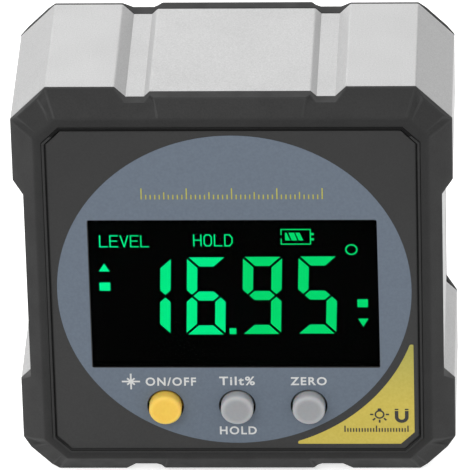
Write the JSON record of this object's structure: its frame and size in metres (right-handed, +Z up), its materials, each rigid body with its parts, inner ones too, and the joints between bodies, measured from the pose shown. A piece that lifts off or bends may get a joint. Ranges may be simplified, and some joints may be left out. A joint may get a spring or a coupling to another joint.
{
  "type": "digital angle gauge",
  "caption": "Square digital angle gauge with a lit display, push buttons, magnetic grooved sides and a rear battery door.",
  "frame": {"origin": "on the ground under the middle of the gauge, half way between button fronts and back rim", "axes": "+X to the right seen from the face, +Y from the face to the back, +Z up"},
  "size_m": [0.06, 0.0328, 0.06],
  "materials": {
    "frame_aluminium": "fine bead-blasted, matte silver",
    "case_plastic": "fine-grained charcoal moulding",
    "face_print": "printed matte film",
    "window_clear": "clear moulded window",
    "display_black": "black display glass",
    "light_panel": "white light panel",
    "lamp": "small side lamp",
    "contact_rubber": "layered rubber strip",
    "board_green": "solder-masked board",
    "chip_black": "black resin",
    "passives": "small ceramic blocks",
    "plunger_plastic": "pale plunger",
    "button_yellow": "soft yellow cap",
    "button_grey": "soft grey cap",
    "magnet_plated": "nickel-plated bar",
    "cell_jacket": "plain cell jacket",
    "plated_steel": "nickel-plated spring steel",
    "wire_red": "insulated lead",
    "wire_black": "insulated lead",
    "screw_steel": "plated screws"
  },
  "bodies": {
    "case": {"frame": "frame_aluminium", "front_cover": "case_plastic", "rear_cover": "case_plastic", "face_overlay": "face_print", "display_window": "window_clear", "lcd_panel": "display_black", "backlight_panel": "light_panel", "backlight_led": "lamp", "zebra_strip": "contact_rubber", "main_board": "board_green", "controller_chip": "chip_black", "tilt_sensor": "chip_black", "crystal": "plated_steel", "board_passives": "passives", "power_switch": "chip_black", "tilt_switch": "chip_black", "zero_switch": "chip_black", "magnet_top": "magnet_plated", "magnet_bottom": "magnet_plated", "magnet_left": "magnet_plated", "magnet_right": "magnet_plated", "cell_upper": "cell_jacket", "cell_lower": "cell_jacket", "contact_bridge": "plated_steel", "contact_positive": "plated_steel", "contact_negative": "plated_steel", "spring_upper": "plated_steel", "spring_lower": "plated_steel", "wire_positive": "wire_red", "wire_negative": "wire_black", "case_screws": "screw_steel", "board_screws": "screw_steel"},
    "power_button": {"power_button": "button_yellow", "power_plunger": "plunger_plastic"},
    "tilt_button": {"tilt_button": "button_grey", "tilt_plunger": "plunger_plastic"},
    "zero_button": {"zero_button": "button_grey", "zero_plunger": "plunger_plastic"},
    "battery_door": {"battery_door": "case_plastic"}
  },
  "joints": [
    {"name": "power_button_press", "type": "slide", "parent": "case", "child": "power_button", "axis": [0, 1, 0], "range_m": [0, 0.0005], "stiffness_N_per_m": 1500},
    {"name": "tilt_button_press", "type": "slide", "parent": "case", "child": "tilt_button", "axis": [0, 1, 0], "range_m": [0, 0.0005], "stiffness_N_per_m": 1500},
    {"name": "zero_button_press", "type": "slide", "parent": "case", "child": "zero_button", "axis": [0, 1, 0], "range_m": [0, 0.0005], "stiffness_N_per_m": 1500},
    {"name": "battery_door_tilt", "type": "hinge", "parent": "case", "child": "battery_door", "pos_m": [0, 0.0161, 0.04185], "axis": [1, 0, 0], "range_deg": [0, 60]}
  ]
}
